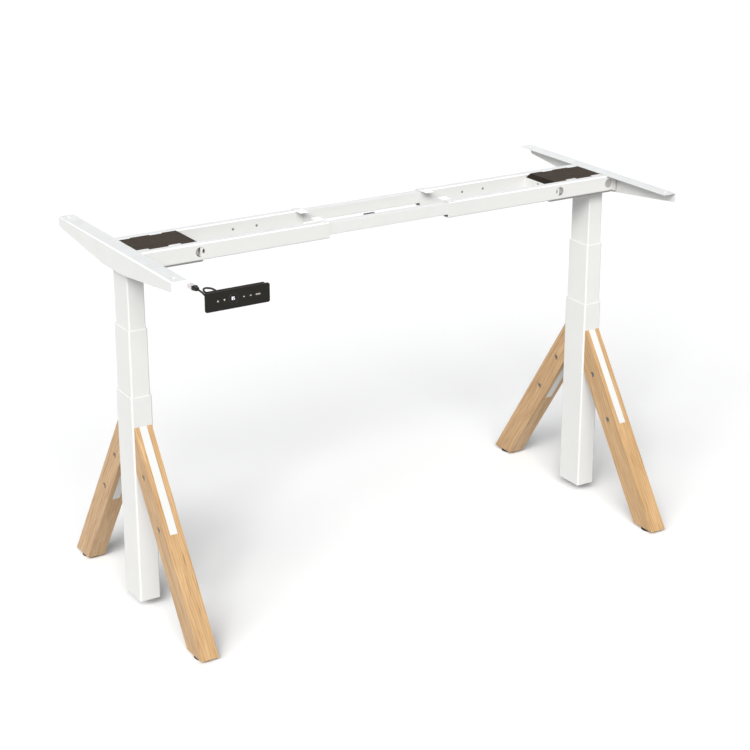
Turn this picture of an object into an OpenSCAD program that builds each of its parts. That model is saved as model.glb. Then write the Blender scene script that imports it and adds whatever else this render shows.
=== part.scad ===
// Height adjustable standing desk: a two-column frame with three-stage legs,
// slanted oak struts, a telescoping top frame and a push-button handset.
// Millimetres. +Z is up, +X runs along the desk to the right, +Y to the rear.
// The origin is on the floor, midway between the two column axes.

/* [Frame] */
// Distance between the two column axes
column_spacing = 1239; // [1200:1:1280]
// Height of the plane that the desktop rests on
desk_plane = 852; // [846:0.5:856]
// Distance between the inner ends of the left and right outer rails
rail_gap = 318; // [260:2:380]
// Length of the sliding inner rails
inner_rail_len = 959; // [900:1:970]
// Height of an outer rail
rail_h = 38; // [36:0.5:40]
// Height of an inner rail
inner_rail_h = 28.4; // [26:0.2:30]
// Diameter of the access holes in the rails
access_d = 22; // [18:0.5:24]

/* [Columns] */
// Width of the lower column tube, along the desk
outer_w = 50; // [48:0.5:52]
// Depth of the lower column tube, front to back
outer_d = 80; // [76:0.5:84]
// Wall of the column tubes
tube_wall = 1.5; // [1.2:0.1:1.5]
// Height of the rim of the lower tube above the floor
outer_top = 517.7; // [505:0.1:525]
// Height of the rim of the middle tube above the floor
middle_top = 670.5; // [665:0.1:674]
// Gap between the floor and the lower end of the column
column_lift = 25; // [20:0.5:30]

/* [Struts] */
// Width of an oak strut
strut_w = 42.8; // [40:0.2:44]
// Height at which a strut's upper face meets the column
strut_top = 447.9; // [440:0.1:455]
// Height at which a strut's lower face meets the column
strut_low = 343.6; // [338:0.1:350]
// Distance from the column plane to the outer edge of a strut's foot
foot_out = 334.4; // [325:0.1:345]
// Distance from the column plane to the inner edge of a strut's foot
foot_in = 265.1; // [260:0.1:272]
// Width of the steel tongue let into a strut
tongue_w = 18.2; // [16:0.2:20]
// Diameter of a levelling glide
glide_d = 40; // [34:0.5:42]

/* [Side brackets] */
// Length of a side bracket, front to back
bracket_len = 572; // [560:0.2:580]
// Width of a side bracket's top flange
flange_w = 35.5; // [33:0.5:37]
// Depth of a side bracket at its ends
web_end = 23.2; // [18:0.1:26]
// Depth of a side bracket at its middle
web_mid = 49; // [46:0.5:52]
// Distance between the two desktop screw holes in a flange
flange_hole_pitch = 534; // [520:1:540]

/* [Handset] */
// Width of the handset's front plate
handset_w = 144.8; // [142:0.2:148]
// Height of the handset's front plate
handset_h = 40.3; // [38:0.1:42]
// Diameter of a handset key
key_d = 9.4; // [8:0.2:9.6]
// Diameter of the handset cord
cord_d = 4.2; // [3.6:0.1:4.6]

/* [Hidden] */
$fn = 48;

cx = column_spacing / 2;        // distance of a column axis from the middle
sheet = 1.5;                    // thickness of the bracket and tab sheet
rail_top = desk_plane - sheet;  // top of the outer rails
rail_bot = rail_top - rail_h;
rail_in = 50;                   // inner face of an outer rail, from the middle plane
rail_out = 70;                  // outer face of an outer rail
rail_wall = 1.5;
rail_end = cx + 22;             // outer end of an outer rail
rail_tip = rail_gap / 2;        // inner end of an outer rail
hole_z = rail_top - 19;         // height of the holes in the rails
web_x = cx + 36.5;              // outer face of a side bracket's web
tray_bot = desk_plane - 49;     // underside of the motor tray
gap = 0.3;                      // clearance between parts that slide past each other
middle_w = outer_w - 5;
middle_d = outer_d - 5;
inner_w = outer_w - 10;
inner_d = outer_d - 10;
middle_len = 500;
inner_len = 490;
inner_top = tray_bot;
sole = 8;                       // underside of the struts
foot_y = (foot_in + foot_out) / 2;

// ---- shared shapes ----

// Rounded rectangle
module rrect(w, d, r) {
  square([w - 2 * r, d], center = true);
  square([w, d - 2 * r], center = true);
  for (i = [-1, 1], j = [-1, 1])
    translate([i * (w / 2 - r), j * (d / 2 - r)]) circle(r = r);
}

// Upright bar with rounded corners
module rbar(w, d, z0, z1, r) {
  translate([0, 0, z0]) linear_extrude(z1 - z0) rrect(w, d, r);
}

// Upright rectangular tube
module rtube(w, d, z0, z1, r, t) {
  difference() {
    rbar(w, d, z0, z1, r);
    rbar(w - 2 * t, d - 2 * t, z0 - 1, z1 + 1, max(r - t, 0.3));
  }
}

// Bar along X between x0 and x1, centred on y and z
module xbar(x0, x1, y, z, w, h, r) {
  translate([x0, y, z]) rotate([90, 0, 90]) linear_extrude(x1 - x0) rrect(w, h, r);
}

// Outline in Y and Z, pushed out along X
module yz(pts, x0, x1) {
  translate([x0, 0, 0]) rotate([90, 0, 90]) linear_extrude(x1 - x0) polygon(pts);
}

// Outline in X and Z, pushed out along Y
module xz(pts, y0, y1) {
  translate([0, y1, 0]) rotate([90, 0, 0]) linear_extrude(y1 - y0) polygon(pts);
}

module box(a, b) { translate(a) cube(b - a); }
module xcyl(x0, x1, y, z, d) { translate([x0, y, z]) rotate([0, 90, 0]) cylinder(h = x1 - x0, d = d); }
module ycyl(y0, y1, x, z, d) { translate([x, y0, z]) rotate([-90, 0, 0]) cylinder(h = y1 - y0, d = d); }
module zcyl(z0, z1, d) { translate([0, 0, z0]) cylinder(h = z1 - z0, d = d); }
module both_y() { children(); mirror([0, 1, 0]) children(); }
module on_column() { translate([-cx, 0, 0]) children(); }

// ---- lower stage ----

module outer_tube() {
  color("white") on_column() rtube(outer_w, outer_d, column_lift, outer_top, 4, tube_wall);
}

// Base plate and post that carry the fixed nut of the hollow spindle
module spindle_post() {
  color("silver") on_column() difference() {
    union() {
      rbar(outer_w - 2 * tube_wall - 0.2, outer_d - 2 * tube_wall - 0.2, column_lift, column_lift + 4, 2.4);
      zcyl(column_lift + 4, 352, 30);
    }
    zcyl(column_lift + 4, 338, 27);
    zcyl(337, 353, 22.1);
  }
}

// Outlines of a strut and of its tongue, in Y and Z
strut_outline = [[outer_d / 2, strut_top], [foot_out, sole], [foot_in, sole], [outer_d / 2, strut_low]];
function along(a, b, t) = a + (b - a) * t;
tongue_hi = along(strut_outline[0], strut_outline[1], 0.468);
tongue_lo = along(strut_outline[3], strut_outline[2], 0.40);
tongue_outline = [strut_outline[0], tongue_hi, tongue_lo, strut_outline[3]];
bolt_at = [[76.2, 342], [143, 243]];

module strut() {
  color("burlywood") on_column() difference() {
    yz(strut_outline, -strut_w / 2, strut_w / 2);
    // slot for the tongue, open at the column and on the upper and lower faces
    intersection() {
      yz([[0, strut_top + 80], tongue_hi + [30, 44], tongue_hi, tongue_lo, tongue_lo - [50, 35], [0, 200]],
         -tongue_w / 2 - 0.35, tongue_w / 2 + 0.35);
      yz([[0, 0], [400, 0], [400, 600], [0, 600]], -20, 20);
    }
    for (b = bolt_at) {
      xcyl(-30, 30, b[0], b[1], 8.4);
      xcyl(-30, -strut_w / 2 + 8, b[0], b[1], 14.5);
      xcyl(strut_w / 2 - 8, 30, b[0], b[1], 14.5);
    }
    translate([0, foot_y, 0]) { zcyl(sole - 1, sole + 18, 12.1); zcyl(sole, sole + 34, 9); }
  }
}

// Steel box tongues welded to the column, open only against it
module strut_brackets() {
  color("white") on_column() both_y() difference() {
    yz(tongue_outline, -tongue_w / 2, tongue_w / 2);
    yz([strut_outline[0] + [-5, 4], strut_outline[0] + [0, -3.6], tongue_hi + [-3, -0.6],
        tongue_lo + [0.8, 3], strut_outline[3] + [0, 3.6], strut_outline[3] + [-5, 8]],
       -tongue_w / 2 + 2, -5);
    yz([strut_outline[0] + [-5, 4], strut_outline[0] + [0, -3.6], tongue_hi + [-3, -0.6],
        tongue_lo + [0.8, 3], strut_outline[3] + [0, 3.6], strut_outline[3] + [-5, 8]],
       5, tongue_w / 2 - 2);
    for (b = bolt_at) xcyl(-30, 30, b[0], b[1], 8.4);
  }
}

// Bolts and nuts across the struts, and threaded inserts for the glides
module strut_hardware() {
  color("silver") on_column() both_y() {
    for (b = bolt_at) {
      difference() {
        union() {
          xcyl(-strut_w / 2 + 2, -strut_w / 2 + 8, b[0], b[1], 13);
          xcyl(-strut_w / 2 + 7, strut_w / 2 - 4, b[0], b[1], 8);
        }
        translate([-strut_w / 2 + 1, b[0], b[1]]) rotate([0, 90, 0]) cylinder(h = 4.5, d = 7, $fn = 6);
      }
      difference() {
        xcyl(strut_w / 2 - 8, strut_w / 2 - 2, b[0], b[1], 13);
        xcyl(strut_w / 2 - 9, strut_w / 2 - 3.8, b[0], b[1], 8.1);
        translate([strut_w / 2 - 3.9, b[0], b[1]]) rotate([0, 90, 0]) cylinder(h = 4.5, d = 7, $fn = 6);
      }
    }
    translate([0, foot_y, 0]) difference() {
      zcyl(sole, sole + 18, 12);
      zcyl(sole - 1, sole + 19, 8.1);
    }
  }
}

// Levelling glide with its threaded stem
module glide() {
  color("black") on_column() translate([0, foot_y, 0]) {
    rotate_extrude() polygon([[0, 0], [glide_d / 2 - 1, 0], [glide_d / 2, 1], [glide_d / 2, 4.2],
      [glide_d / 2 - 3, 7.2], [9, 7.7], [0, 7.7]]);
    zcyl(7, 40, 8);
  }
}

// Ring that guides the middle tube in the rim of the lower tube
module lower_guide() {
  color("white") on_column() difference() {
    rbar(outer_w - 2 * tube_wall - 0.1, outer_d - 2 * tube_wall - 0.1, outer_top - 20, outer_top, 4 - tube_wall);
    rbar(middle_w + 2 * gap, middle_d + 2 * gap, outer_top - 21, outer_top + 1, 2.3);
  }
}

// ---- middle stage ----

module middle_tube() {
  color("white") on_column() rtube(middle_w, middle_d, middle_top - middle_len, middle_top, 3.5, tube_wall);
}

// Plate and tube that carry the hollow spindle inside the middle tube
module spindle_carrier() {
  z = middle_top - middle_len;
  color("silver") on_column() difference() {
    union() {
      rbar(middle_w - 2 * tube_wall - 0.2, middle_d - 2 * tube_wall - 0.2, z + 1.5, z + 5.5, 2);
      zcyl(z + 5, z + 375.5, 34);
    }
    zcyl(z, z + 365.5, 31);
    zcyl(z + 360, z + 380, 22.1);
  }
}

// Ring that guides the inner tube in the rim of the middle tube
module upper_guide() {
  color("white") on_column() difference() {
    rbar(middle_w - 2 * tube_wall - 0.1, middle_d - 2 * tube_wall - 0.1, middle_top - 20, middle_top, 2);
    rbar(inner_w + 2 * gap, inner_d + 2 * gap, middle_top - 21, middle_top + 1, 2.3);
  }
}

// Hollow spindle: outside thread in the post's nut, bore nut on the drive spindle
module hollow_spindle() {
  z = middle_top - middle_len;
  color("gray") on_column() difference() {
    union() {
      zcyl(z - 14.5, z + 379, 22);
      zcyl(z + 361, z + 365.2, 27);
      zcyl(z + 375.8, z + 379, 27);
    }
    zcyl(z - 15, z + 340, 16);
    zcyl(z + 339, z + 380, 14.1);
  }
}

// ---- upper stage ----

module inner_tube() {
  color("white") on_column() rtube(inner_w, inner_d, inner_top - inner_len, inner_top, 3, tube_wall);
}

// Drive spindle that hangs from the gearbox down the middle of the column
module drive_spindle() {
  color("gray") on_column() {
    zcyl(inner_top - 478, tray_bot + 4, 14);
    zcyl(tray_bot + 3, tray_bot + 8, 20);
    zcyl(tray_bot + 7, tray_bot + 34, 12);
  }
}

module gearbox() {
  z = tray_bot + 2;
  color("darkgray") on_column() difference() {
    union() {
      rbar(52, 62, z, z + 30, 5);
      rbar(40, 46, z + 29, z + 36, 5);
      for (i = [-1, 1], j = [-1, 1]) translate([i * 20, j * 25, 0]) zcyl(z + 29, z + 33, 9);
    }
    zcyl(z - 1, z + 6.3, 20.6);
    zcyl(z, z + 33, 12.1);
  }
}

// Motor can with its mounting flange, end bell and connector
module motor() {
  x0 = -cx + 26;
  z = tray_bot + 23;
  color("dimgray") {
    xbar(x0, x0 + 5, 0, z, 42, 40, 4);
    xcyl(x0 + 4, x0 + 82, 0, z, 38);
    xcyl(x0 + 81, x0 + 90, 0, z, 30);
    xcyl(x0 + 89, x0 + 93, 0, z, 12);
    xbar(x0 + 60, x0 + 74, 22, z, 12, 14, 1.5);
  }
}

tray_tip = cx - 154.5;    // inner end of the motor tray
lugs = [[cx - 104.5, cx - 75.5], [cx - 28.5, cx + 0.9]];

// Steel tray that holds the motor between the rails
module motor_tray() {
  e = -web_x + sheet + 3.6;
  color("white") difference() {
    union() {
      box([e, -50, tray_bot], [-tray_tip, 50, tray_bot + 2]);
      both_y() {
        box([e, 48, tray_bot], [-tray_tip - 18, 50, rail_top - 3.2]);
        box([-tray_tip - 19, 48, tray_bot], [-tray_tip, 50, rail_top - 10.5]);
        for (l = lugs) {
          box([-l[1], 48, tray_bot], [-l[0], 50, rail_top]);
          box([-l[1], 45, rail_top - 2], [-l[0], 49, rail_top]);
        }
      }
      box([-tray_tip - 2, -50, tray_bot], [-tray_tip, 50, rail_top - 8.4]);
      box([e, -50, tray_bot], [e + 2, 50, rail_top - 4]);
    }
    on_column() zcyl(tray_bot - 1, tray_bot + 3, 24);
    xcyl(-tray_tip - 3, -tray_tip + 1, -1, hole_z + 4.6, 5.6);
    both_y() ycyl(47, 51, -cx - 8.9, hole_z, 8.4);
  }
}

// Moulded cover over the motor, let in flush with the rails and notched
// round the tray's folded lugs
module motor_cover() {
  a = -tray_tip - 2.3;
  c = -tray_tip - 15.3;
  b = -web_x + sheet + 6;
  top = rail_top;
  color("#3a2f28") difference() {
    union() {
      xz([[a, top - 11], [a, top - 8], [c, top], [b, top], [b, top - 11]], -47.7, 47.7);
      both_y()
        xz([[a, top - 9.8], [a, top - 8], [c, top], [b, top], [b, top - 2.8], [c - 1, top - 2.8]], 47.6, 49.7);
    }
    difference() {
      xz([[a - 2, top - 17], [a - 2, top - 9.4], [c - 1.4, top - 2.5], [b + 2, top - 2.5], [b + 2, top - 17]], -45.7, 45.7);
      both_y() for (l = lugs) box([-l[1] - 2, 42.6, top - 4.6], [-l[0] + 2, 46, top]);
    }
    both_y() for (l = lugs) {
      box([-l[1] - 0.4, 44.6, top - 2.4], [-l[0] + 0.4, 51, top + 1]);
      box([-l[1] - 0.4, 47.5, top - 3.2], [-l[0] + 0.4, 51, top]);
    }
  }
}

// Outer rail on the front side, with its desktop tab
module front_rail() {
  yc = -(rail_in + rail_out) / 2;
  zc = (rail_top + rail_bot) / 2;
  w = rail_out - rail_in;
  color("white") {
    difference() {
      xbar(-rail_end, -rail_tip, yc, zc, w, rail_h, 3.2);
      xbar(-rail_end - 1, -rail_tip + 1, yc, zc, w - 2 * rail_wall, rail_h - 2 * rail_wall, 1.7);
      for (x = [cx - 139, cx + 8.9]) ycyl(-rail_out - 1, yc, -x, hole_z, access_d);
      ycyl(yc, -rail_in + 1, -cx - 8.9, hole_z, 8.4);
      for (x = [rail_tip + 120, rail_tip + 180]) ycyl(yc, -rail_in + 1, -x, hole_z, 6);
      translate([-rail_tip - 10.5, -54, 0]) zcyl(rail_top - 3, rail_top + 1, 4.4);
    }
    difference() {
      box([-rail_tip - 21, -rail_out + 1.6, rail_top - 0.01], [-rail_tip, -24, desk_plane]);
      for (h = [[-30, 5.5], [-54, 4.4]]) translate([-rail_tip - 10.5, h[0], 0]) zcyl(rail_top - 1, desk_plane + 1, h[1]);
    }
  }
}
module rear_rail() { mirror([0, 1, 0]) front_rail(); }

// Bolts and nuts that hold the outer rails to the motor tray
module rail_bolts() {
  color("silver") both_y() translate([-cx - 8.9, 0, hole_z]) {
    difference() {
      union() {
        ycyl(rail_in + rail_wall, rail_in + rail_wall + 4.5, 0, 0, 14);
        ycyl(40.5, rail_in + rail_wall + 1, 0, 0, 8);
      }
      translate([0, rail_in + rail_wall + 1.5, 0]) rotate([-90, 0, 0]) cylinder(h = 4, d = 5.8, $fn = 6);
    }
    difference() {
      translate([0, 41.5, 0]) rotate([-90, 0, 0]) cylinder(h = 6.4, d = 15, $fn = 6);
      ycyl(41, 48.5, 0, 0, 8.1);
    }
  }
}

// Section of a sheet bent to a right angle, with its outer corner at the origin
module bent_sheet(w, h, t, r) {
  difference() {
    union() {
      translate([r, -h]) square([w - r, h]);
      translate([0, -h]) square([r + 0.1, h - r]);
      translate([r, -r]) circle(r = r);
    }
    translate([r, -h - 1]) square([w, h + 1 - t]);
    translate([t, -h - 1]) square([r, h + 1 - r]);
    translate([r, -r]) circle(r = r - t);
  }
}

// Bent sheet bracket under the end of the desktop, with dimpled screw holes
module side_bracket() {
  h = bracket_len / 2;
  lo = desk_plane - web_end;
  r = 7;
  corner = [for (i = [0:6]) [h - r + r * sin(90 - i * 15), lo + r - r * cos(90 - i * 15)]];
  half = concat([[h, desk_plane]], corner, [[50.7, desk_plane - web_mid]]);
  mirrored = [for (i = [len(half) - 1:-1:0]) [-half[i][0], half[i][1]]];
  color("white") difference() {
    union() {
      intersection() {
        translate([-web_x, h, desk_plane]) rotate([90, 0, 0]) linear_extrude(2 * h) bent_sheet(flange_w, web_mid, sheet, 3);
        yz(concat(half, mirrored), -web_x - 1, -web_x + flange_w + 1);
      }
      for (j = [-1, 1]) translate([-cx - 20.5, j * flange_hole_pitch / 2, rail_top - 1.5]) cylinder(h = 1.6, d1 = 9.4, d2 = 14);
    }
    for (j = [-1, 1]) translate([-cx - 20.5, j * flange_hole_pitch / 2, 0]) {
      zcyl(rail_top - 3, desk_plane + 1, 6.5);
      translate([0, 0, desk_plane - 2.1]) cylinder(h = 2.2, d1 = 6.5, d2 = 12.4);
    }
  }
}

// Blocks that close the rail ends against the side bracket
module rail_end_caps() {
  x0 = -web_x + sheet;
  r = 4;
  color("white") both_y() difference() {
    box([x0, rail_in, rail_bot - 1], [-rail_end, rail_out - 0.6, rail_top]);
    difference() {
      box([x0 - 1, rail_out - 0.6 - r, rail_bot - 2], [x0 + r, rail_out + 1, rail_top + 1]);
      translate([x0 + r, rail_out - 0.6 - r, 0]) zcyl(rail_bot - 3, rail_top + 2, 2 * r);
    }
    // room for the bend of the bracket
    box([x0 - 1, rail_in - 1, rail_top - 2], [x0 + 2, rail_out + 1, rail_top + 1]);
  }
}

// ---- middle of the top frame ----

module inner_rails() {
  w = rail_out - rail_in - 2 * rail_wall - 2 * gap - 0.2;
  zt = rail_top - rail_wall - gap;
  color("white") both_y() difference() {
    xbar(-inner_rail_len / 2, inner_rail_len / 2, (rail_in + rail_out) / 2, zt - inner_rail_h / 2, w, inner_rail_h, 1.6);
    xbar(-inner_rail_len / 2 - 1, inner_rail_len / 2 + 1, (rail_in + rail_out) / 2, zt - inner_rail_h / 2, w - 3, inner_rail_h - 3, 0.4);
    for (i = [-1, 1]) ycyl(40, 80, i * (inner_rail_len / 2 - 11), hole_z + 0.3, 12.5);
  }
}

// Hook for the cables on the front inner rail
module cable_clip() {
  y0 = -(rail_in + rail_wall + gap + 0.1);
  z = rail_top - 6;
  color("#222222") {
    box([-47.5, y0, z - 16], [-19.5, y0 + 2, z]);
    box([-46.5, y0 + 1, z - 2.2], [-20.5, y0 + 22, z]);
    box([-46.5, y0 + 20, z - 9], [-20.5, y0 + 22, z - 1]);
  }
}

// ---- handset ----

hx0 = -cx - 13.3;           // left edge of the front plate
hy0 = -393.4;               // face of the front plate
hz1 = desk_plane;           // upper edge of the front plate
hzc = hz1 - 19.55;          // row of the keys
case_back = -378.4;         // back of the case
key_at = [27.9, 42.5, 86.3, 101.4];
lock_at = 117.9;
dial_at = 63;

module xz_rrect(x0, x1, z0, z1, y0, y1, r) {
  translate([(x0 + x1) / 2, y1, (z0 + z1) / 2]) rotate([90, 0, 0]) linear_extrude(y1 - y0) rrect(x1 - x0, z1 - z0, r);
}

module handset_case() {
  color("#2b2a28") difference() {
    box([hx0 + 7, hy0 + 3, hz1 - 39], [hx0 + handset_w - 7, case_back, hz1 - 1.35]);
    for (k = key_at) ycyl(hy0 + 2, hy0 + 8, hx0 + k, hzc, key_d + 0.8);
    xz_rrect(hx0 + lock_at - 8.4, hx0 + lock_at + 8.4, hzc - key_d / 2 - 0.4, hzc + key_d / 2 + 0.4, hy0 + 2, hy0 + 8, 4.8);
  }
}

module handset_face() {
  color("#242321") difference() {
    xz_rrect(hx0, hx0 + handset_w, hz1 - handset_h, hz1, hy0, hy0 + 3, 4.5);
    for (k = key_at) ycyl(hy0 - 1, hy0 + 4, hx0 + k, hzc, key_d + 0.6);
    xz_rrect(hx0 + lock_at - 8.3, hx0 + lock_at + 8.3, hzc - key_d / 2 - 0.3, hzc + key_d / 2 + 0.3, hy0 - 1, hy0 + 4, 4.8);
    // ring groove round the display
    difference() {
      ycyl(hy0 - 1, hy0 + 0.5, hx0 + dial_at, hzc, 21.6);
      ycyl(hy0 - 2, hy0 + 1, hx0 + dial_at, hzc, 20.4);
    }
  }
}

module round_key(k) { color("#262523") ycyl(hy0, hy0 + 6.4, hx0 + k, hzc, key_d); }
module key_up() { round_key(key_at[0]); }
module key_down() { round_key(key_at[1]); }
module key_one() { round_key(key_at[2]); }
module key_two() { round_key(key_at[3]); }
module key_lock() {
  color("#262523") xz_rrect(hx0 + lock_at - 8, hx0 + lock_at + 8, hzc - key_d / 2, hzc + key_d / 2, hy0, hy0 + 6.4, 4.5);
}

// Free cord: straight out of the back of the case, round two loose loops and
// up to its plug
boot_at = [-617.5, -334, 841.5];
route = [
  [-600, -378.4, 847], [-598, -372, 847], [-598.5, -365.5, 847.8], [-601.5, -360, 849],
  [-606, -355, 849.4], [-610.2, -350, 848.6], [-611.3, -345, 845.2], [-609.3, -341.5, 840],
  [-605, -341.2, 835.5], [-600, -342.5, 832], [-594.5, -343.5, 828.8], [-589, -343.5, 826],
  [-584.4, -343.3, 822.8], [-581.6, -343.2, 818.4], [-582.2, -343.2, 813.4], [-586, -343.4, 810.2],
  [-591.2, -343.8, 810.6], [-595.4, -344.2, 814.2], [-599.2, -344.6, 818.8], [-603.2, -345, 824],
  [-607.2, -345, 829.4], [-611.2, -343.2, 834.8], [-615, -339.2, 839.4], boot_at
];
function unit(v) = v / norm(v);
function heading(i) =
  i == 0 ? [0, 1, 0] :
  i == len(route) - 1 ? [0, 1, 0] :
  unit(route[i + 1] - route[i - 1]);
function square_to(n, t) = unit(n - t * (n * t));
function normals(i = 0, n = [0, 0, 1]) =
  i == len(route) ? [] : let (m = square_to(n, heading(i))) concat([m], normals(i + 1, m));

module handset_cord() {
  sides = 8;
  ns = normals();
  last = len(route) - 1;
  pts = [for (i = [0:last]) for (k = [0:sides - 1])
    let (t = heading(i), n = ns[i], b = cross(t, n), a = 360 * k / sides)
      route[i] + (n * cos(a) + b * sin(a)) * cord_d / 2];
  walls = [for (i = [0:last - 1]) for (k = [0:sides - 1])
    let (k2 = (k + 1) % sides)
      [i * sides + k2, i * sides + k, (i + 1) * sides + k, (i + 1) * sides + k2]];
  ends = [[for (k = [0:sides - 1]) k], [for (k = [sides - 1:-1:0]) last * sides + k]];
  color("#2a2928") polyhedron(pts, concat(walls, ends), convexity = 6);
}

// Moulded boot that the cord runs into
module cord_boot() {
  color("#242322") translate(boot_at) {
    rotate([-90, 0, 0]) cylinder(h = 6, d1 = 5.2, d2 = 7);
    hull() {
      translate([0, 5, 0]) rotate([90, 0, 0]) linear_extrude(0.5) rrect(8.6, 7, 2);
      translate([0, 19, 0]) rotate([90, 0, 0]) linear_extrude(3) rrect(13.2, 9.4, 2);
    }
  }
}

// Clear modular plug with its latch
module cord_plug() {
  color([0.85, 0.8, 0.8, 0.6]) translate(boot_at) {
    box([-5.85, 19, -4], [5.85, 38.5, 3.6]);
    box([-2.8, 19, 3.5], [2.8, 34, 6.2]);
  }
}

// ---- left side ----
module left_outer_tube() { outer_tube(); }
module left_spindle_post() { spindle_post(); }
module left_front_strut() { mirror([0, 1, 0]) strut(); }
module left_rear_strut() { strut(); }
module left_strut_brackets() { strut_brackets(); }
module left_strut_hardware() { strut_hardware(); }
module left_front_glide() { mirror([0, 1, 0]) glide(); }
module left_rear_glide() { glide(); }
module left_lower_guide() { lower_guide(); }
module left_middle_tube() { middle_tube(); }
module left_spindle_carrier() { spindle_carrier(); }
module left_upper_guide() { upper_guide(); }
module left_drive_spindle() { drive_spindle(); }
module left_hollow_spindle() { hollow_spindle(); }
module left_inner_tube() { inner_tube(); }
module left_motor_tray() { motor_tray(); }
module left_motor() { motor(); }
module left_gearbox() { gearbox(); }
module left_motor_cover() { motor_cover(); }
module left_rail_bolts() { rail_bolts(); }
module left_front_rail() { front_rail(); }
module left_rear_rail() { rear_rail(); }
module left_side_bracket() { side_bracket(); }
module left_rail_end_caps() { rail_end_caps(); }

// ---- right side, the mirror image ----
module flip() { mirror([1, 0, 0]) children(); }
module right_outer_tube() { flip() outer_tube(); }
module right_spindle_post() { flip() spindle_post(); }
module right_front_strut() { flip() mirror([0, 1, 0]) strut(); }
module right_rear_strut() { flip() strut(); }
module right_strut_brackets() { flip() strut_brackets(); }
module right_strut_hardware() { translate([2 * cx, 0, 0]) strut_hardware(); }
module right_front_glide() { flip() mirror([0, 1, 0]) glide(); }
module right_rear_glide() { flip() glide(); }
module right_lower_guide() { flip() lower_guide(); }
module right_middle_tube() { flip() middle_tube(); }
module right_spindle_carrier() { flip() spindle_carrier(); }
module right_upper_guide() { flip() upper_guide(); }
module right_drive_spindle() { flip() drive_spindle(); }
module right_hollow_spindle() { flip() hollow_spindle(); }
module right_inner_tube() { flip() inner_tube(); }
module right_motor_tray() { flip() motor_tray(); }
module right_motor() { flip() motor(); }
module right_gearbox() { flip() gearbox(); }
module right_motor_cover() { flip() motor_cover(); }
module right_rail_bolts() { flip() rail_bolts(); }
module right_front_rail() { flip() front_rail(); }
module right_rear_rail() { flip() rear_rail(); }
module right_side_bracket() { flip() side_bracket(); }
module right_rail_end_caps() { flip() rail_end_caps(); }

// ---- drawing ----
left_outer_tube();
left_spindle_post();
left_front_strut();
left_rear_strut();
left_strut_brackets();
left_strut_hardware();
left_front_glide();
left_rear_glide();
left_lower_guide();
left_middle_tube();
left_spindle_carrier();
left_upper_guide();
left_drive_spindle();
left_hollow_spindle();
left_inner_tube();
left_motor_tray();
left_motor();
left_gearbox();
left_motor_cover();
left_rail_bolts();
left_front_rail();
left_rear_rail();
left_side_bracket();
left_rail_end_caps();
right_outer_tube();
right_spindle_post();
right_front_strut();
right_rear_strut();
right_strut_brackets();
right_strut_hardware();
right_front_glide();
right_rear_glide();
right_lower_guide();
right_middle_tube();
right_spindle_carrier();
right_upper_guide();
right_drive_spindle();
right_hollow_spindle();
right_inner_tube();
right_motor_tray();
right_motor();
right_gearbox();
right_motor_cover();
right_rail_bolts();
right_front_rail();
right_rear_rail();
right_side_bracket();
right_rail_end_caps();
inner_rails();
cable_clip();
handset_case();
handset_face();
key_up();
key_down();
key_one();
key_two();
key_lock();
handset_cord();
cord_boot();
cord_plug();
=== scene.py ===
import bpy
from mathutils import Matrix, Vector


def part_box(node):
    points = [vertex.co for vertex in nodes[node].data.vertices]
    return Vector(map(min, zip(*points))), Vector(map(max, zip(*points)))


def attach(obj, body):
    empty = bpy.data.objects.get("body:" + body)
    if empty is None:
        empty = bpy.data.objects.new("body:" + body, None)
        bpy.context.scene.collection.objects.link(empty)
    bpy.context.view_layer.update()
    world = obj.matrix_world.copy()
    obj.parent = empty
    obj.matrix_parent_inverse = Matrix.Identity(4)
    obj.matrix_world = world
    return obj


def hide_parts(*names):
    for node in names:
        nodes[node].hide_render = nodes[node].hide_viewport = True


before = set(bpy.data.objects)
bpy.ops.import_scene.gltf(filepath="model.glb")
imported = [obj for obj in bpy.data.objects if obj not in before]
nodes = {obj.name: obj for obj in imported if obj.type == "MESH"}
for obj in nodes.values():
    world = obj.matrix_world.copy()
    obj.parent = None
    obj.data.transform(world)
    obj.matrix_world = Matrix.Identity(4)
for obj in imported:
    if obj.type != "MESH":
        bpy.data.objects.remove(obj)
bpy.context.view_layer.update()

import math

import bmesh
import bpy
from mathutils import Matrix, Vector

scene = bpy.context.scene

# ------------------------------------------------------------------ camera

cam_data = bpy.data.cameras.new("camera")
cam_data.sensor_width = 36.0
cam_data.lens = 90.327
cam_data.clip_end = 200.0
cam = bpy.data.objects.new("camera", cam_data)
scene.collection.objects.link(cam)
cam.location = (-2.1981, -3.5626, 1.9918)
cam.rotation_euler = (math.radians(90 - 20.410), 0.0, math.radians(-31.707))
scene.camera = cam

# ------------------------------------------------------------------ helpers


def link(name, mesh):
    o = bpy.data.objects.new(name, mesh)
    scene.collection.objects.link(o)
    return o


def from_bm(name, bm):
    me = bpy.data.meshes.new(name)
    bm.normal_update()
    bm.to_mesh(me)
    bm.free()
    return link(name, me)


def smooth(o, angle=35):
    for p in o.data.polygons:
        p.use_smooth = True
    o.data.set_sharp_from_angle(angle=math.radians(angle))


def catmull(pts, n):
    out = []
    P = [Vector(p) for p in pts]
    ext = [P[0] * 2 - P[1]] + P + [P[-1] * 2 - P[-2]]
    for i in range(1, len(ext) - 2):
        a, b, c, d = ext[i - 1], ext[i], ext[i + 1], ext[i + 2]
        for k in range(n):
            t = k / n
            out.append(
                0.5
                * (
                    2 * b
                    + (c - a) * t
                    + (2 * a - 5 * b + 4 * c - d) * t * t
                    + (3 * b - a - 3 * c + d) * t**3
                )
            )
    out.append(P[-1])
    return out


# ------------------------------------------------------------------ materials


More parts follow.
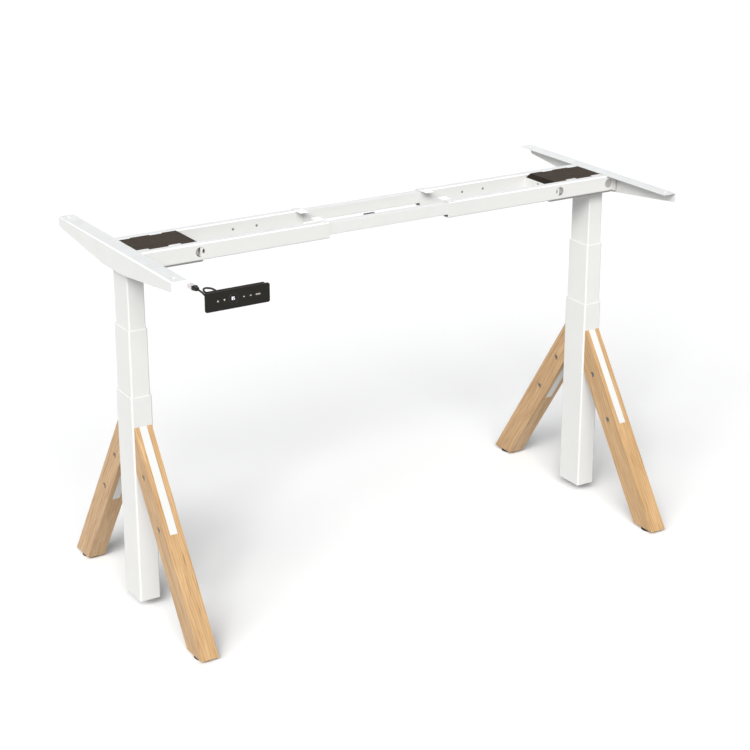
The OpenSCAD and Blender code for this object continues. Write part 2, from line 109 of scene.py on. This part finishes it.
class Mat:
    """A small builder for node materials."""

    def __init__(self, name):
        self.m = bpy.data.materials.new(name)
        self.m.use_nodes = True
        self.t = self.m.node_tree
        self.t.nodes.clear()
        self.out = self.t.nodes.new("ShaderNodeOutputMaterial")
        self.b = self.t.nodes.new("ShaderNodeBsdfPrincipled")
        self.t.links.new(self.b.outputs[0], self.out.inputs[0])

    def set(self, **kw):
        for k, v in kw.items():
            self.b.inputs[k.replace("_", " ")].default_value = v
        return self

    def node(self, kind, **props):
        n = self.t.nodes.new(kind)
        for k, v in props.items():
            setattr(n, k, v)
        return n

    def wire(self, a, b):
        self.t.links.new(a, b)

    def coords(self, scale=(1, 1, 1), rot=(0, 0, 0), loc=(0, 0, 0)):
        tc = self.node("ShaderNodeTexCoord")
        mp = self.node("ShaderNodeMapping")
        mp.inputs["Scale"].default_value = scale
        mp.inputs["Rotation"].default_value = rot
        mp.inputs["Location"].default_value = loc
        self.wire(tc.outputs["Object"], mp.inputs["Vector"])
        return mp.outputs["Vector"]

    def noise(self, vec, scale, detail=4.0, rough=0.55, distortion=0.0):
        n = self.node("ShaderNodeTexNoise")
        n.inputs["Scale"].default_value = scale
        n.inputs["Detail"].default_value = detail
        n.inputs["Roughness"].default_value = rough
        n.inputs["Distortion"].default_value = distortion
        self.wire(vec, n.inputs["Vector"])
        return n.outputs["Fac"]

    def ramp(self, fac, stops, interpolation="LINEAR"):
        r = self.node("ShaderNodeValToRGB")
        r.color_ramp.interpolation = interpolation
        while len(r.color_ramp.elements) < len(stops):
            r.color_ramp.elements.new(0.5)
        for e, (p, c) in zip(r.color_ramp.elements, stops):
            e.position = p
            e.color = (*c, 1) if len(c) == 3 else c
        self.wire(fac, r.inputs["Fac"])
        return r.outputs["Color"]

    def math(self, op, a, b=None, clamp=False):
        n = self.node("ShaderNodeMath", operation=op, use_clamp=clamp)
        for i, v in enumerate((a, b)):
            if v is None:
                continue
            if isinstance(v, (int, float)):
                n.inputs[i].default_value = v
            else:
                self.wire(v, n.inputs[i])
        return n.outputs[0]

    def mix(self, fac, a, b, mode="MIX"):
        n = self.node("ShaderNodeMix", data_type="RGBA", blend_type=mode)
        for sock, v in ((n.inputs[0], fac), (n.inputs[6], a), (n.inputs[7], b)):
            if isinstance(v, (int, float)):
                sock.default_value = v
            elif isinstance(v, tuple):
                sock.default_value = (*v, 1) if len(v) == 3 else v
            else:
                self.wire(v, sock)
        return n.outputs[2]

    def zone(self, *limits):
        """1 inside all the limits: axis, "over" or "under", middle, distance from that middle."""
        sep = self.node("ShaderNodeSeparateXYZ")
        self.wire(self.coords(), sep.inputs[0])
        out = None
        for axis, kind, at, by in limits:
            d = self.math("ABSOLUTE", sep.outputs["XYZ".index(axis)])
            if at:
                d = self.math("ABSOLUTE", self.math("SUBTRACT", d, at))
            one = self.math("GREATER_THAN" if kind == "over" else "LESS_THAN", d, by)
            out = one if out is None else self.math("MULTIPLY", out, one)
        return out

    def bump(self, height, strength, distance):
        n = self.node("ShaderNodeBump")
        n.inputs["Strength"].default_value = strength
        n.inputs["Distance"].default_value = distance
        self.wire(height, n.inputs["Height"])
        self.wire(n.outputs["Normal"], self.b.inputs["Normal"])


def rgb(r, g, b):
    def lin(c):
        c /= 255
        return c / 12.92 if c <= 0.04045 else ((c + 0.055) / 1.055) ** 2.4

    return (lin(r), lin(g), lin(b))


def powder_coat(name, base, rough=0.42, shade=None, limits=()):
    """Fine satin powder coat: faint cloudiness, orange peel, and a little speckle.
    In one zone of the part (limits) the colour is multiplied by shade, a painted highlight or painted shade."""
    k = Mat(name).set(Roughness=rough)
    v = k.coords()
    cloud = k.noise(v, 9.0, 3.0)
    fine = k.noise(v, 900.0, 2.0)
    lo = tuple(c * 0.972 for c in base)
    hi = tuple(min(1.0, c * 1.012) for c in base)
    col = k.ramp(cloud, [(0.3, lo), (0.7, hi)])
    speck = k.ramp(fine, [(0.30, tuple(c * 0.975 for c in (1, 1, 1))), (0.42, (1, 1, 1))])
    col = k.mix(1.0, col, speck, "MULTIPLY")
    if shade:
        col = k.mix(k.zone(*limits), col, k.mix(1.0, col, shade, "MULTIPLY"))
    k.wire(col, k.b.inputs["Base Color"])
    peel = k.noise(v, 420.0, 2.0)
    k.bump(peel, 0.10, 0.0006)
    r = k.ramp(k.noise(v, 30.0, 3.0), [(0.3, (rough - 0.05,) * 3), (0.7, (rough + 0.05,) * 3)])
    k.wire(r, k.b.inputs["Roughness"])
    return k.m


def plastic(name, base, rough=0.5, grain=700.0, bump=0.15, depth=0.0004, spread=0.12, spec=0.5, shade=None, limits=()):
    k = Mat(name).set(Specular_IOR_Level=spec)
    v = k.coords()
    n = k.noise(v, 14.0, 3.0)
    col = k.ramp(n, [(0.3, tuple(c * (1 - spread) for c in base)), (0.7, tuple(c * (1 + spread) for c in base))])
    # shade multiplies the colour in one zone (limits): painted shade or painted highlight
    if shade:
        col = k.mix(k.zone(*limits), col, k.mix(1.0, col, shade, "MULTIPLY"))
    k.wire(col, k.b.inputs["Base Color"])
    r = k.ramp(k.noise(v, 60.0, 3.0), [(0.3, (max(rough - 0.06, 0.03),) * 3), (0.7, (rough + 0.06,) * 3)])
    k.wire(r, k.b.inputs["Roughness"])
    k.bump(k.noise(v, grain, 2.0), bump, depth)
    return k.m


def steel(name, base, rough=0.28, stretch=(1, 1, 30)):
    k = Mat(name).set(Metallic=1.0)
    v = k.coords(scale=stretch)
    n = k.noise(v, 260.0, 4.0)
    col = k.ramp(n, [(0.3, tuple(c * 0.88 for c in base)), (0.7, tuple(min(1, c * 1.08) for c in base))])
    k.wire(col, k.b.inputs["Base Color"])
    r = k.ramp(n, [(0.3, (rough - 0.07,) * 3), (0.7, (rough + 0.1,) * 3)])
    k.wire(r, k.b.inputs["Roughness"])
    k.bump(n, 0.12, 0.0003)
    return k.m


def oak(name, tilt, offset):
    """Solid oak, grain along the strut: growth bands, fine pores and pale rays."""
    k = Mat(name).set(Roughness=0.5)
    # rotate so that the local Z runs along the strut
    v = k.coords(rot=(tilt, 0, 0), loc=offset)
    sep = k.node("ShaderNodeSeparateXYZ")
    k.wire(v, sep.inputs[0])

    def stretched(sx, sy, sz):
        c = k.node("ShaderNodeVectorMath", operation="MULTIPLY")
        k.wire(v, c.inputs[0])
        c.inputs[1].default_value = (sx, sy, sz)
        return c.outputs[0]

    # growth bands: distance across the board, bent slowly along the length
    warp = k.noise(stretched(1, 1, 0.22), 9.0, 3.0, 0.5)
    across = k.math("ADD", k.math("MULTIPLY", sep.outputs[0], 1.0), k.math("MULTIPLY", sep.outputs[1], 0.55))
    bands_at = k.math("ADD", across, k.math("MULTIPLY", k.math("SUBTRACT", warp, 0.5), 0.055))
    wave = k.math("SINE", k.math("MULTIPLY", bands_at, 1150.0))
    band = k.math("MULTIPLY_ADD", wave, 0.5)
    k.t.nodes[-1].inputs[2].default_value = 0.5
    light = rgb(197, 162, 119)
    mid = rgb(180, 145, 102)
    deep = rgb(139, 102, 62)
    streak = k.noise(stretched(1, 1, 0.05), 170.0, 3.0, 0.6, 0.25)
    broad = k.noise(stretched(1, 1, 0.09), 62.0, 3.0, 0.55, 0.5)
    body = k.ramp(broad, [(0.32, mid), (0.68, light)])
    grown = k.mix(k.math("MULTIPLY", k.math("POWER", band, 2.6), 0.28), body, deep)
    lined = k.mix(k.math("MULTIPLY", k.math("SUBTRACT", streak, 0.50, True), 1.9, True), grown, deep)
    pores = k.ramp(k.noise(stretched(1, 1, 0.04), 430.0, 2.0, 0.5), [(0.58, (1, 1, 1)), (0.68, (0.66, 0.57, 0.46))])
    col = k.mix(0.8, lined, pores, "MULTIPLY")
    fleck = k.ramp(k.noise(stretched(1, 0.35, 0.06), 150.0, 2.0, 0.5), [(0.62, (0, 0, 0)), (0.72, (1, 1, 1))])
    col = k.mix(k.math("MULTIPLY", fleck, 0.35), col, rgb(215, 182, 139))
    # painted shade: the two side faces of each board are painted a tenth darker than its edges
    raw = k.coords()
    apart = k.node("ShaderNodeSeparateXYZ")
    k.wire(raw, apart.inputs[0])
    from_axis = k.math("ABSOLUTE", k.math("SUBTRACT", k.math("ABSOLUTE", apart.outputs[0]), 0.6195))
    side = k.math("GREATER_THAN", from_axis, 0.02095)
    col = k.mix(side, col, k.mix(1.0, col, (0.90, 0.895, 0.90), "MULTIPLY"))
    k.wire(col, k.b.inputs["Base Color"])
    k.wire(k.ramp(streak, [(0.3, (0.36,) * 3), (0.7, (0.52,) * 3)]), k.b.inputs["Roughness"])
    k.bump(k.math("ADD", k.math("MULTIPLY", streak, 0.6), k.math("MULTIPLY", pores, 0.4)), 0.25, 0.0006)
    return k.m


WHITE = (0.615, 0.615, 0.603)
m_white = powder_coat("white_powder_coat", WHITE, 0.36)
# painted highlight: the top bend of the side brackets is painted 1.3 times lighter
m_bend_highlight = powder_coat("bracket_coat", WHITE, 0.36, (1.3, 1.3, 1.3), (("X", "over", 0, 0.6536), ("Z", "over", 0, 0.8496)))
# painted highlight: the top edges of the rails are painted 1.3 times lighter
m_rail_highlight = powder_coat("rail_coat", WHITE, 0.36, (1.3, 1.3, 1.3), (("Y", "over", 0.060, 0.0076), ("Z", "over", 0, 0.8481)))
# painted shadow: the tray walls below the rails' bottom edge are painted darker and browner
m_tray_shadow = powder_coat("tray_coat", WHITE, 0.36, (0.70, 0.685, 0.665), (("Y", "over", 0, 0.0495), ("Z", "under", 0, 0.8125)))
# painted highlight: the top 1.6 mm of the outer and middle tubes is painted 1.2 times lighter along their upper rims
m_outer_rim_highlight, m_middle_rim_highlight = (
    powder_coat(n + "_coat", WHITE, 0.36, (1.2, 1.2, 1.2), (("Z", "over", 0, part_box("left_" + n)[1][2] - 0.0016),))
    for n in ("outer_tube", "middle_tube")
)
m_ring = plastic("white_plastic", (0.66, 0.66, 0.65), 0.5, 500, 0.08, 0.0003, 0.01)
# painted shade: the chamfered ends of the cover, inside |x| 0.48, are painted 0.42 times darker
m_cover = plastic("cover_brown", (0.0512, 0.0389, 0.0290), 0.7, 800, 0.05, spread=0.02, spec=0.06,
                  shade=(0.42, 0.41, 0.42), limits=(("X", "under", 0, 0.4800),))
m_case = plastic("handset_shell", rgb(47, 34, 27), 0.8, 1400, 0.15, spec=0.04)
m_panel = plastic("handset_panel", rgb(33, 32, 29), 0.5, 900, 0.05, spec=0.12)
m_key = plastic("key_black", rgb(33, 32, 29), 0.4, 900, 0.05, spec=0.22)
m_clip = plastic("clip_black", rgb(36, 36, 36), 0.5)
m_cord = plastic("cord_jacket", rgb(34, 33, 32), 0.5, 1500, 0.12, spec=0.3)
m_boot = plastic("boot_black", rgb(30, 30, 31), 0.5, 1500, 0.2, spec=0.3)
m_glide = plastic("glide_black", rgb(30, 30, 30), 0.6, 900, 0.3)
m_motor = plastic("motor_black", rgb(38, 38, 40), 0.4, 900, 0.1)
m_bright = steel("bright_steel", rgb(205, 203, 198), 0.25)
m_zinc = steel("zinc_steel", rgb(190, 190, 188), 0.34)
m_spindle = steel("spindle_steel", rgb(135, 133, 130), 0.36, (1, 1, 0.2))
m_cast = steel("cast_alloy", rgb(176, 177, 178), 0.5, (1, 1, 1))
tilt = math.atan2(foot := 294.4, 439.9)
m_oak = {
    "left_rear": oak("oak_left_rear", -tilt, (0.31, 0.12, 0.4)),
    "left_front": oak("oak_left_front", tilt, (0.73, 0.45, 0.1)),
    "right_rear": oak("oak_right_rear", -tilt, (0.11, 0.77, 0.9)),
    "right_front": oak("oak_right_front", tilt, (0.52, 0.21, 0.6)),
}

clear = Mat("clear_plastic").set(Roughness=0.25, IOR=1.49)
clear.b.inputs["Transmission Weight"].default_value = 0.2
vv = clear.coords()
clear.wire(clear.ramp(clear.noise(vv, 160.0, 2.0), [(0.3, (0.60, 0.555, 0.545)), (0.7, (0.70, 0.66, 0.65))]), clear.b.inputs["Base Color"])
clear.bump(clear.noise(vv, 500.0, 2.0), 0.08, 0.0003)
m_clear = clear.m
m_bolt = steel("bolt_steel", rgb(120, 120, 122), 0.5, (1, 1, 1))
m_bolt.node_tree.nodes["Principled BSDF"].inputs["Metallic"].default_value = 0.35
# dark colour of the painted shadow strips under the desktop tabs
m_painted_shadow = plastic("black_oxide", rgb(52, 49, 46), 0.6, 900, 0.1, spec=0.2)
# grey of the painted shade collars in the rail joints
m_joint_shade = plastic("seal_grey", rgb(193, 192, 188), 0.6, 900, 0.05, spread=0.03, spec=0.2)
m_screw = plastic("screw_grey", rgb(118, 115, 111), 0.5, 900, 0.1, spread=0.06, spec=0.3)
# dark lining with a faint glow: painted bounce light inside the rails
inner = Mat("rail_lining").set(Roughness=0.8)
inner.wire(inner.ramp(inner.noise(inner.coords(), 60.0, 2.0), [(0.3, (0.19, 0.18, 0.17)), (0.7, (0.23, 0.22, 0.21))]), inner.b.inputs["Base Color"])
inner.b.inputs["Emission Color"].default_value = (0.96, 0.93, 0.88, 1)
inner.b.inputs["Emission Strength"].default_value = 0.26
m_bounce_glow = inner.m
m_gold = steel("contact_gold", rgb(214, 176, 92), 0.22, (1, 30, 1))
m_mark = plastic("key_print", rgb(196, 192, 182), 0.55, 900, 0.05, spread=0.02, spec=0.3)
m_gloss = plastic("dial_ring", rgb(26, 25, 25), 0.14, 300, 0.02, spread=0.05)
lit = Mat("display_digits").set(Roughness=0.4)
lit.wire(lit.ramp(lit.noise(lit.coords(), 900.0, 1.0), [(0.3, (0.78, 0.76, 0.84)), (0.7, (0.86, 0.84, 0.90))]), lit.b.inputs["Base Color"])
lit.b.inputs["Emission Color"].default_value = (0.86, 0.84, 0.95, 1)
lit.b.inputs["Emission Strength"].default_value = 0.35
m_lit = lit.m


def finish_of(n):
    b = n.replace("left_", "").replace("right_", "")
    if b in ("front_strut", "rear_strut"):
        return m_oak[n.split("_")[0] + "_" + n.split("_")[1]]
    return {
        "spindle_post": m_zinc, "spindle_carrier": m_zinc, "drive_spindle": m_spindle,
        "hollow_spindle": m_spindle, "strut_hardware": m_bolt, "rail_bolts": m_bright,
        "front_glide": m_glide, "rear_glide": m_glide, "lower_guide": m_ring, "upper_guide": m_ring,
        "outer_tube": m_outer_rim_highlight, "middle_tube": m_middle_rim_highlight, "side_bracket": m_bend_highlight, "front_rail": m_rail_highlight, "rear_rail": m_rail_highlight, "motor_tray": m_tray_shadow,
        "rail_end_caps": m_ring, "motor": m_motor, "gearbox": m_cast, "motor_cover": m_cover,
        "cable_clip": m_clip, "handset_case": m_case, "handset_face": m_panel,
        "key_up": m_key, "key_down": m_key, "key_one": m_key, "key_two": m_key, "key_lock": m_key,
        "handset_cord": m_cord, "cord_boot": m_boot, "cord_plug": m_clear,
    }.get(b, m_white)


# The tubes, rails and struts are rounded in the frame already and keep its exact normals.
BEVEL = {
    "strut_brackets": 0.5, "motor_tray": 0.5, "side_bracket": 0.6,
    "lower_guide": 0.3, "upper_guide": 0.3, "rail_end_caps": 0.8, "motor_cover": 0.6,
    "handset_case": 1.0, "handset_face": 0.35, "cable_clip": 0.4, "key_up": 0.35, "key_down": 0.35,
    "key_one": 0.35, "key_two": 0.35, "key_lock": 0.35, "cord_boot": 0.8, "cord_plug": 0.4,
    "strut_hardware": 0.4, "rail_bolts": 0.4, "gearbox": 0.8, "motor": 0.6,
}

for n, o in nodes.items():
    o.data.materials.clear()
    o.data.materials.append(finish_of(n))
    b = n.replace("left_", "").replace("right_", "")
    w = BEVEL.get(b)
    if w:
        weld = o.modifiers.new("weld", "WELD")
        weld.merge_threshold = 1e-6
        bev = o.modifiers.new("bevel", "BEVEL")
        bev.width = w / 1000
        bev.segments = 3
        bev.limit_method = "ANGLE"
        bev.angle_limit = math.radians(40)
        bev.harden_normals = True
        bev.use_clamp_overlap = True
        bev.miter_outer = "MITER_ARC"

# ------------------------------------------------------------------ cord

ROUTE = [
    (-600, -378.4, 847), (-598, -372, 847), (-598.5, -365.5, 847.8), (-601.5, -360, 849),
    (-606, -355, 849.4), (-610.2, -350, 848.6), (-611.3, -345, 845.2), (-609.3, -341.5, 840),
    (-605, -341.2, 835.5), (-600, -342.5, 832), (-594.5, -343.5, 828.8), (-589, -343.5, 826),
    (-584.4, -343.3, 822.8), (-581.6, -343.2, 818.4), (-582.2, -343.2, 813.4), (-586, -343.4, 810.2),
    (-591.2, -343.8, 810.6), (-595.4, -344.2, 814.2), (-599.2, -344.6, 818.8), (-603.2, -345, 824),
    (-607.2, -345, 829.4), (-611.2, -343.2, 834.8), (-615, -339.2, 839.4), (-617.5, -334, 841.5),
]
pts = catmull([tuple(c / 1000 for c in p) for p in ROUTE], 4)
cu = bpy.data.curves.new("cord", "CURVE")
cu.dimensions = "3D"
cu.bevel_depth = 0.0021
cu.bevel_resolution = 5
cu.use_fill_caps = True
sp = cu.splines.new("POLY")
sp.points.add(len(pts) - 1)
for q, p in zip(sp.points, pts):
    q.co = (*p, 1)
cord = bpy.data.objects.new("handset_lead", cu)
scene.collection.objects.link(cord)
cu.materials.append(m_cord)
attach(cord, "left_frame")
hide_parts("handset_cord")

# ------------------------------------------------------------------ handset marks

FACE_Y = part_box("handset_face")[0][1]
FACE_X0, FACE_X1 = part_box("handset_face")[0][0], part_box("handset_face")[1][0]


def centre(node):
    lo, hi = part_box(node)
    return ((lo[0] + hi[0]) / 2, (lo[2] + hi[2]) / 2)


def mark(name, shapes, at, body, material, y=None, rise=0.00008):
    """Flat printed mark: outlines in mm about `at`, standing a hair proud of the face."""
    bm = bmesh.new()
    y0 = (FACE_Y if y is None else y)
    for shape in shapes:
        front = [bm.verts.new((at[0] + x / 1000, y0 - rise, at[1] + z / 1000)) for x, z in shape]
        back = [bm.verts.new((at[0] + x / 1000, y0 + 0.0002, at[1] + z / 1000)) for x, z in shape]
        bm.faces.new(front)
        bm.faces.new(back[::-1])
        n = len(shape)
        for i in range(n):
            bm.faces.new((front[i], back[i], back[(i + 1) % n], front[(i + 1) % n]))
    bmesh.ops.recalc_face_normals(bm, faces=bm.faces)
    o = from_bm(name, bm)
    o.data.materials.append(material)
    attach(o, body)
    return o


def bar(x0, z0, x1, z1, r=0.0):
    if not r:
        return [(x0, z0), (x1, z0), (x1, z1), (x0, z1)]
    out = []
    for cx, cz, a0 in ((x1 - r, z0 + r, -90), (x1 - r, z1 - r, 0), (x0 + r, z1 - r, 90), (x0 + r, z0 + r, 180)):
        for k in range(5):
            a = math.radians(a0 + 22.5 * k)
            out.append((cx + r * math.cos(a), cz + r * math.sin(a)))
    return out


def digit(which, w, h, t, x=0.0, z=0.0):
    """Seven-segment figure, w by h, with strokes t wide, centred on x, z."""
    on = {"0": "abcdef", "1": "bc", "2": "abged", "5": "afgcd", "8": "abcdefg"}[which]
    g, a, b = 0.12, w / 2, h / 2
    seg = {
        "a": [(-a, b), (a, b), (a - t, b - t), (-a + t, b - t)],
        "d": [(-a, -b), (a, -b), (a - t, -b + t), (-a + t, -b + t)],
        "g": [(-a + g, 0), (-a + t / 2 + g, t / 2), (a - t / 2 - g, t / 2), (a - g, 0), (a - t / 2 - g, -t / 2), (-a + t / 2 + g, -t / 2)],
        "b": [(a, b - g), (a, g / 2), (a - t / 2, g / 2), (a - t, t / 2 + g), (a - t, b - t - g)],
        "c": [(a, -b + g), (a, -g / 2), (a - t / 2, -g / 2), (a - t, -t / 2 - g), (a - t, -b + t + g)],
        "f": [(-a, b - g), (-a, g / 2), (-a + t / 2, g / 2), (-a + t, t / 2 + g), (-a + t, b - t - g)],
        "e": [(-a, -b + g), (-a, -g / 2), (-a + t / 2, -g / 2), (-a + t, -t / 2 - g), (-a + t, -b + t + g)],
    }
    return [[(px + x, pz + z) for px, pz in seg[c]] for c in on]


mark("mark_up", [[(-2.0, -1.9), (2.0, -1.9), (0.35, 1.7), (-0.35, 1.7)]], centre("key_up"), "key_up", m_mark)
mark("mark_down", [[(-2.05, 1.7), (-0.3, -1.85), (0.3, -1.85), (2.05, 1.7)]], centre("key_down"), "key_down", m_mark)
mark("mark_one", [bar(-1.75, -0.85, 1.75, 0.85, 0.3)], centre("key_one"), "key_one", m_mark)
mark("mark_two", [bar(-1.9, 0.25, 1.9, 1.1, 0.3), bar(-1.9, -1.1, 1.9, -0.25, 0.3)], centre("key_two"), "key_two", m_mark)
mark("mark_lock", [bar(-5.1 + 2.7 * k, -1.15, -3.0 + 2.7 * k, 1.15, 0.4) for k in range(4)], centre("key_lock"), "key_lock", m_mark)
DIAL = (FACE_X0 + 0.063, centre("key_up")[1])
mark("display_digits", digit("8", 3.1, 6.5, 1.0, -2.7, 0.4) + digit("5", 3.1, 6.5, 1.0, 1.1, 0.4), DIAL, "left_frame", m_lit)

# glossy ring round the display, let into its groove
bm = bmesh.new()
rings = []
R, n = 10.5, 96
profile = [(R - 0.62, 0.3), (R - 0.55, -0.02), (R - 0.3, -0.16), (R, -0.2), (R + 0.3, -0.16), (R + 0.55, -0.02), (R + 0.62, 0.3)]
for i in range(n):
    a = 2 * math.pi * i / n
    rings.append([bm.verts.new((DIAL[0] + r / 1000 * math.cos(a), FACE_Y + y / 1000, DIAL[1] + r / 1000 * math.sin(a))) for r, y in profile])
for i in range(n):
    p, q = rings[i], rings[(i + 1) % n]
    for k in range(len(profile) - 1):
        bm.faces.new((p[k], p[k + 1], q[k + 1], q[k]))
    bm.faces.new((p[-1], p[0], q[0], q[-1]))
bmesh.ops.recalc_face_normals(bm, faces=bm.faces)
ring = from_bm("display_ring", bm)
smooth(ring, 60)
ring.data.materials.append(m_gloss)
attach(ring, "left_frame")

# ------------------------------------------------------------------ rail details

SIDES = {"left": -1, "right": 1}


def block(bm, lo, hi):
    """Box between two corners, in metres, whatever the order of the corners."""
    c = [(a + b) / 2 for a, b in zip(lo, hi)]
    d = [abs(b - a) for a, b in zip(lo, hi)]
    bmesh.ops.create_cube(bm, size=1.0, matrix=Matrix.Translation(c) @ Matrix.Diagonal((*d, 1)))


def place(name, bm, material, body):
    bmesh.ops.recalc_face_normals(bm, faces=bm.faces)
    o = from_bm(name, bm)
    o.data.materials.append(material)
    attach(o, body)
    return o


for side, sx in SIDES.items():
    body = side + "_frame"
    lo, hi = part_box(side + "_front_rail")
    tip = lo[0] if sx > 0 else hi[0]          # inner end of the outer rails
    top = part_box(side + "_motor_cover")[1][2]  # top of the outer rails
    zh = top - 0.019                           # row of the holes

    # thin grey collar between each outer rail and the inner rail in it, painted darker than the rails as the shade line
    # in the joint
    bm = bmesh.new()
    for sy in (-1, 1):
        for y0, y1, z0, z1 in (
            (-0.0093, -0.0083, top - 0.0308, top - 0.0006), (0.0083, 0.0093, top - 0.0308, top - 0.0006),
            (-0.0093, 0.0093, top - 0.0016, top - 0.0006), (-0.0093, 0.0093, top - 0.0310, top - 0.0303),
        ):
            block(bm, (tip, sy * 0.060 + y0, z0), (tip - sx * 0.0005, sy * 0.060 + y1, z1))
    place(side + "_rail_collars", bm, m_joint_shade, body)

    # dark strip painted in as the shadow under the outer edge of each desktop tab
    bm = bmesh.new()
    for sy in (-1, 1):
        block(bm, (tip + sx * 0.0004, sy * 0.0678, top - 0.0004), (tip + sx * 0.0206, sy * 0.06862, top + 0.0001))
    place(side + "_tab_gaps", bm, m_painted_shadow, body)

    # set screws that lock the inner rails, each end face split by a flat inset ring
    bm = bmesh.new()
    for sy in (-1, 1):
        for off in (0.120, 0.180):
            turn = Matrix.Rotation(math.radians(90), 4, "X")
            at = Matrix.Translation((tip + sx * off, sy * 0.05085, zh))
            bmesh.ops.create_cone(bm, segments=28, radius1=0.0029, radius2=0.0029, depth=0.0011, cap_ends=True, matrix=at @ turn)
    for f in [f for f in bm.faces if len(f.verts) > 4]:
        bmesh.ops.inset_individual(bm, faces=[f], thickness=0.0013, depth=0.0)
    place(side + "_set_screws", bm, m_screw, body)

    # dark sheets inside the rails behind the access holes, with a faint glow: painted bounce light for the rail
    # interior
    bm = bmesh.new()
    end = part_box(side + "_rail_bolts")
    xb = (end[0][0] + end[1][0]) / 2
    for sy in (-1, 1):
        block(bm, (xb - sx * 0.014, sy * 0.0595, top - 0.0365), (xb + sx * 0.0125, sy * 0.0602, top - 0.0016))
        # in two strips, one for the hollow of the inner rail and one under it, so that the rail passes when it slides in
        x1 = sx * 0.4804
        block(bm, (x1, sy * 0.0588, top - 0.0281), (x1 + sx * 0.030, sy * 0.0595, top - 0.0039))
        block(bm, (x1, sy * 0.0588, top - 0.0365), (x1 + sx * 0.030, sy * 0.0595, top - 0.0307))
    place(side + "_rail_baffles", bm, m_bounce_glow, body)

# eight contact blades in the nose of the plug
lo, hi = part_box("cord_plug")
bm = bmesh.new()
for k in range(8):
    x = (lo[0] + hi[0]) / 2 + (k - 3.5) * 0.00102
    bmesh.ops.create_cube(bm, size=1.0, matrix=Matrix.Translation((x, hi[1] - 0.0034, lo[2] + 0.0013)) @ Matrix.Diagonal((0.00035, 0.0062, 0.003, 1)))
bmesh.ops.bevel(bm, geom=bm.edges[:], offset=0.00006, segments=2, affect="EDGES")
blades = from_bm("plug_contacts", bm)
blades.data.materials.append(m_gold)
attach(blades, "left_frame")

# ------------------------------------------------------------------ stage

bm = bmesh.new()
bmesh.ops.create_grid(bm, x_segments=1, y_segments=1, size=40)
floor = from_bm("floor", bm)
fl = Mat("floor").set(Roughness=0.9)
fl.b.inputs["Specular IOR Level"].default_value = 0.1
fl.wire(fl.ramp(fl.noise(fl.coords(), 0.8, 2.0), [(0.3, (0.85, 0.85, 0.85)), (0.7, (0.86, 0.86, 0.86))]), fl.b.inputs["Base Color"])
floor.data.materials.append(fl.m)

# a weak cool dome above, and the light that a pale studio sends up from below
world = bpy.data.worlds.new("studio")
scene.world = world
world.use_nodes = True
wt = world.node_tree
wt.nodes.clear()
w_out = wt.nodes.new("ShaderNodeOutputWorld")
w_bg = wt.nodes.new("ShaderNodeBackground")
w_tc = wt.nodes.new("ShaderNodeTexCoord")
w_sep = wt.nodes.new("ShaderNodeSeparateXYZ")
w_map = wt.nodes.new("ShaderNodeMapRange")
w_map.inputs["From Min"].default_value = -0.06
w_map.inputs["From Max"].default_value = 0.06
w_ramp = wt.nodes.new("ShaderNodeValToRGB")
LOW, HIGH = 0.74, 0.24
w_ramp.color_ramp.elements[0].color = (LOW, LOW, LOW * 0.99, 1)
w_ramp.color_ramp.elements[1].color = (HIGH * 0.97, HIGH * 0.99, HIGH * 1.02, 1)
wt.links.new(w_tc.outputs["Generated"], w_sep.inputs[0])
wt.links.new(w_sep.outputs[2], w_map.inputs["Value"])
wt.links.new(w_map.outputs[0], w_ramp.inputs[0])
wt.links.new(w_ramp.outputs[0], w_bg.inputs[0])
wt.links.new(w_bg.outputs[0], w_out.inputs[0])
floor.visible_diffuse = False


def sun(name, azimuth, elevation, strength, softness, color=(1, 1, 1)):
    """A soft sun from this azimuth (0 is -Y, -90 is -X) and elevation."""
    a, e = math.radians(azimuth), math.radians(elevation)
    d = Vector((math.sin(a) * math.cos(e), -math.cos(a) * math.cos(e), math.sin(e)))
    L = bpy.data.lights.new(name, "SUN")
    L.energy = strength * math.pi
    L.angle = math.radians(softness)
    L.color = color
    o = bpy.data.objects.new(name, L)
    scene.collection.objects.link(o)
    o.location = d * 4
    o.rotation_euler = (-d).to_track_quat("-Z", "Y").to_euler()
    return o


# one wide soft key from the left of the camera, and a faint rim from behind
sun("key", -41, 35, 0.73, 24, (1.0, 0.995, 0.985))
sun("key_front", -18, 40, 0.42, 24, (1.0, 0.995, 0.985))
sun("key_side", -60, 32, 0.31, 24, (1.0, 0.995, 0.985))
sun("key_left", -80, 34, 0.19, 26, (1.0, 0.995, 0.985))
sun("rim", 150, 16, 0.10, 30, (0.92, 0.98, 1.06))

scene.view_settings.view_transform = "Standard"
scene.view_settings.look = "None"
scene.view_settings.exposure = 0.0
scene.view_settings.gamma = 1.0
